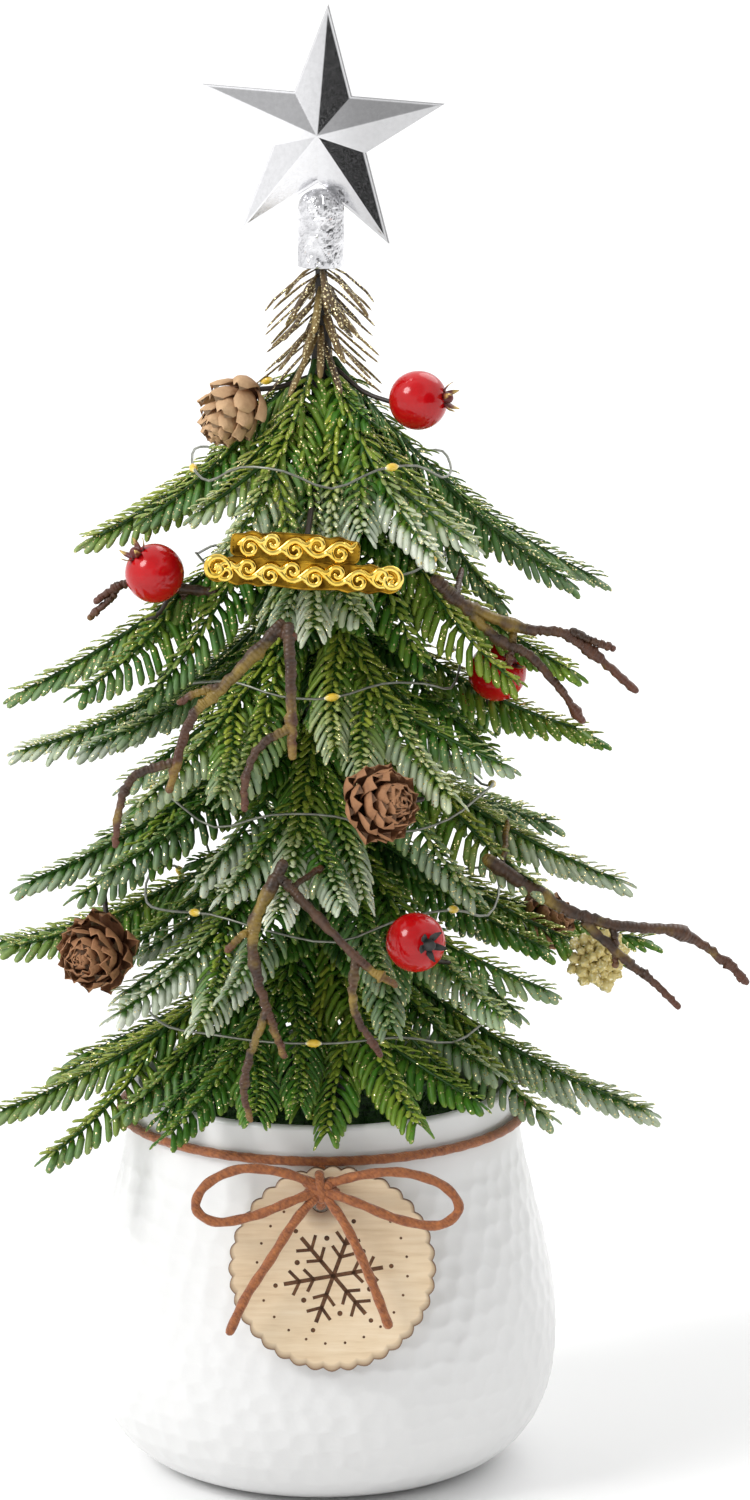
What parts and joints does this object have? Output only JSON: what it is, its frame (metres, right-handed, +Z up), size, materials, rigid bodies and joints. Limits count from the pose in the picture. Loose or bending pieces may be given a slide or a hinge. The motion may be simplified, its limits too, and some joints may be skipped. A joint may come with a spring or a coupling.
{
  "type": "artificial tabletop tree",
  "caption": "Small artificial needle tree in a round glazed pot, with bendable branches, lift-off star, twigs, berries, cones, lights, cord bow and hanging tag.",
  "frame": {"origin": "centre of the pot's flat base", "axes": "+Z up along the trunk; the front with the tag faces -Y"},
  "size_m": [0.2277, 0.1888, 0.4489],
  "materials": {
    "ceramic_white": "gloss",
    "foam_green": "matte",
    "moss_green": "matte",
    "trunk_black": "satin",
    "socket_grey": "matte",
    "needle_bronze": "satin",
    "star_silver": "polished",
    "foil_silver": "polished",
    "needle_green": "satin",
    "berry_red": "gloss",
    "cone_brown": "matte",
    "gold_pale": "satin",
    "gold_bright": "polished",
    "twig_brown": "satin",
    "cord_tan": "matte",
    "tag_wood": "matte",
    "wire_silver": "satin",
    "bead_warm": "gloss",
    "box_green": "satin",
    "cell_steel": "satin",
    "switch_black": "satin"
  },
  "bodies": {
    "root": {"pot": "ceramic_white", "foam_block": "foam_green", "moss_mat": "moss_green", "trunk": "trunk_black", "trunk_socket": "socket_grey", "top_tuft": "needle_bronze", "berry_1": "berry_red", "cone_1": "cone_brown", "gold_plaque": "gold_bright", "neck_cord": "cord_tan", "bow": "cord_tan", "led_wire": "wire_silver", "led_beads": "bead_warm", "battery_box": "box_green", "coin_cells": "cell_steel"},
    "branch_1a": {"branch_1a": "needle_green"},
    "branch_1b": {"branch_1b": "needle_green"},
    "branch_1c": {"branch_1c": "needle_green"},
    "branch_1d": {"branch_1d": "needle_green"},
    "branch_2a": {"branch_2a": "needle_green", "berry_2": "berry_red"},
    "branch_2b": {"branch_2b": "needle_green"},
    "branch_2c": {"branch_2c": "needle_green", "twig_upper_right": "twig_brown"},
    "branch_2d": {"branch_2d": "needle_green"},
    "branch_3a": {"branch_3a": "needle_green"},
    "branch_3b": {"branch_3b": "needle_green", "twigs_front": "twig_brown"},
    "branch_3c": {"branch_3c": "needle_green", "cone_2": "cone_brown"},
    "branch_3d": {"branch_3d": "needle_green", "berry_4": "berry_red"},
    "branch_3e": {"branch_3e": "needle_green"},
    "branch_4a": {"branch_4a": "needle_green", "cone_3": "cone_brown"},
    "branch_4b": {"branch_4b": "needle_green", "twigs_low": "twig_brown"},
    "branch_4c": {"branch_4c": "needle_green", "gold_flower": "gold_pale", "twig_lower_right": "twig_brown"},
    "branch_4d": {"branch_4d": "needle_green"},
    "branch_4e": {"branch_4e": "needle_green"},
    "branch_5a": {"branch_5a": "needle_green"},
    "branch_5b": {"branch_5b": "needle_green"},
    "branch_5c": {"branch_5c": "needle_green", "berry_3": "berry_red"},
    "branch_5d": {"branch_5d": "needle_green", "cone_4": "cone_brown"},
    "branch_5e": {"branch_5e": "needle_green"},
    "branch_6a": {"branch_6a": "needle_green"},
    "branch_6b": {"branch_6b": "needle_green"},
    "branch_6c": {"branch_6c": "needle_green"},
    "branch_6d": {"branch_6d": "needle_green"},
    "branch_6e": {"branch_6e": "needle_green"},
    "tag": {"wooden_tag": "tag_wood"},
    "cover": {"battery_cover": "box_green"},
    "switch": {"switch_knob": "switch_black"},
    "topper": {"star_front": "star_silver", "star_rear": "star_silver", "topper_sleeve": "foil_silver"}
  },
  "joints": [
    {"name": "branch_1a_bend", "type": "hinge", "parent": "root", "child": "branch_1a", "pos_m": [-0.00293, 0.00062, 0.344], "axis": [0.2079, 0.9781, 0], "range_deg": [-8, 10], "deforming": ["led_wire", "led_beads"]},
    {"name": "branch_1b_bend", "type": "hinge", "parent": "root", "child": "branch_1b", "pos_m": [-0.00136, -0.00267, 0.344], "axis": [-0.891, 0.454, 0], "range_deg": [-8, 10]},
    {"name": "branch_1c_bend", "type": "hinge", "parent": "root", "child": "branch_1c", "pos_m": [0.00159, -0.00254, 0.344], "axis": [-0.848, -0.5299, 0], "range_deg": [-8, 10]},
    {"name": "branch_1d_bend", "type": "hinge", "parent": "root", "child": "branch_1d", "pos_m": [0.00278, 0.00112, 0.344], "axis": [0.3746, -0.9272, 0], "range_deg": [-8, 10]},
    {"name": "branch_2a_bend", "type": "hinge", "parent": "root", "child": "branch_2a", "pos_m": [-0.00293, -0.00062, 0.311], "axis": [-0.2079, 0.9781, 0], "range_deg": [-8, 10]},
    {"name": "branch_2b_bend", "type": "hinge", "parent": "root", "child": "branch_2b", "pos_m": [-0.0001, -0.003, 0.311], "axis": [-0.9994, 0.0349, 0], "range_deg": [-8, 10]},
    {"name": "branch_2c_bend", "type": "hinge", "parent": "root", "child": "branch_2c", "pos_m": [0.00278, -0.00112, 0.311], "axis": [-0.3746, -0.9272, 0], "range_deg": [-8, 10]},
    {"name": "branch_2d_bend", "type": "hinge", "parent": "root", "child": "branch_2d", "pos_m": [-0.00026, 0.00299, 0.311], "axis": [0.9962, 0.0872, 0], "range_deg": [-8, 10]},
    {"name": "branch_3a_bend", "type": "hinge", "parent": "root", "child": "branch_3a", "pos_m": [-0.00278, 0.00112, 0.276], "axis": [0.3746, 0.9272, 0], "range_deg": [-8, 10]},
    {"name": "branch_3b_bend", "type": "hinge", "parent": "root", "child": "branch_3b", "pos_m": [-0.00185, -0.00236, 0.276], "axis": [-0.788, 0.6157, 0], "range_deg": [-8, 10]},
    {"name": "branch_3c_bend", "type": "hinge", "parent": "root", "child": "branch_3c", "pos_m": [0.00141, -0.00265, 0.276], "axis": [-0.8829, -0.4695, 0], "range_deg": [-8, 10]},
    {"name": "branch_3d_bend", "type": "hinge", "parent": "root", "child": "branch_3d", "pos_m": [0.00293, 0.00062, 0.276], "axis": [0.2079, -0.9781, 0], "range_deg": [-8, 10]},
    {"name": "branch_3e_bend", "type": "hinge", "parent": "root", "child": "branch_3e", "pos_m": [0.00026, 0.00299, 0.276], "axis": [0.9962, -0.0872, 0], "range_deg": [-8, 10]},
    {"name": "branch_4a_bend", "type": "hinge", "parent": "root", "child": "branch_4a", "pos_m": [-0.00282, -0.00103, 0.242], "axis": [-0.342, 0.9397, 0], "range_deg": [-8, 10]},
    {"name": "branch_4b_bend", "type": "hinge", "parent": "root", "child": "branch_4b", "pos_m": [-0.00042, -0.00297, 0.242], "axis": [-0.9903, 0.1392, 0], "range_deg": [-8, 10]},
    {"name": "branch_4c_bend", "type": "hinge", "parent": "root", "child": "branch_4c", "pos_m": [0.00285, -0.00093, 0.242], "axis": [-0.309, -0.9511, 0], "range_deg": [-8, 10]},
    {"name": "branch_4d_bend", "type": "hinge", "parent": "root", "child": "branch_4d", "pos_m": [0.00193, 0.0023, 0.242], "axis": [0.766, -0.6428, 0], "range_deg": [-8, 10]},
    {"name": "branch_4e_bend", "type": "hinge", "parent": "root", "child": "branch_4e", "pos_m": [-0.00159, 0.00254, 0.242], "axis": [0.848, 0.5299, 0], "range_deg": [-8, 10]},
    {"name": "branch_5a_bend", "type": "hinge", "parent": "root", "child": "branch_5a", "pos_m": [-0.00291, 0.00073, 0.208], "axis": [0.2419, 0.9703, 0], "range_deg": [-8, 10]},
    {"name": "branch_5b_bend", "type": "hinge", "parent": "root", "child": "branch_5b", "pos_m": [-0.00185, -0.00236, 0.208], "axis": [-0.788, 0.6157, 0], "range_deg": [-8, 10]},
    {"name": "branch_5c_bend", "type": "hinge", "parent": "root", "child": "branch_5c", "pos_m": [0.00168, -0.00249, 0.208], "axis": [-0.829, -0.5592, 0], "range_deg": [-8, 10]},
    {"name": "branch_5d_bend", "type": "hinge", "parent": "root", "child": "branch_5d", "pos_m": [0.00288, 0.00083, 0.208], "axis": [0.2756, -0.9613, 0], "range_deg": [-8, 10]},
    {"name": "branch_5e_bend", "type": "hinge", "parent": "root", "child": "branch_5e", "pos_m": [0, 0.003, 0.208], "axis": [1, 0, 0], "range_deg": [-8, 10]},
    {"name": "branch_6a_bend", "type": "hinge", "parent": "root", "child": "branch_6a", "pos_m": [-0.00288, -0.00083, 0.174], "axis": [-0.2756, 0.9613, 0], "range_deg": [-4, 10]},
    {"name": "branch_6b_bend", "type": "hinge", "parent": "root", "child": "branch_6b", "pos_m": [-0.0015, -0.0026, 0.174], "axis": [-0.866, 0.5, 0], "range_deg": [-4, 10]},
    {"name": "branch_6c_bend", "type": "hinge", "parent": "root", "child": "branch_6c", "pos_m": [0.00103, -0.00282, 0.174], "axis": [-0.9397, -0.342, 0], "range_deg": [-4, 10]},
    {"name": "branch_6d_bend", "type": "hinge", "parent": "root", "child": "branch_6d", "pos_m": [0.0029, -0.00078, 0.174], "axis": [-0.2588, -0.9659, 0], "range_deg": [-4, 10]},
    {"name": "branch_6e_bend", "type": "hinge", "parent": "root", "child": "branch_6e", "pos_m": [0, 0.003, 0.174], "axis": [1, 0, 0], "range_deg": [-4, 10]},
    {"name": "topper_lift", "type": "slide", "parent": "root", "child": "topper", "axis": [0, 0, 1], "range_m": [0, 0.03]},
    {"name": "tag_swing", "type": "hinge", "parent": "root", "child": "tag", "pos_m": [0, -0.0684, 0.1], "axis": [0, -0.9925, 0.1219], "range_deg": [-20, 20]},
    {"name": "cover_slide", "type": "slide", "parent": "root", "child": "cover", "axis": [1, 0, 0], "range_m": [0, 0.03]},
    {"name": "switch_slide", "type": "slide", "parent": "root", "child": "switch", "axis": [0, 1, 0], "range_m": [0, 0.003]}
  ]
}
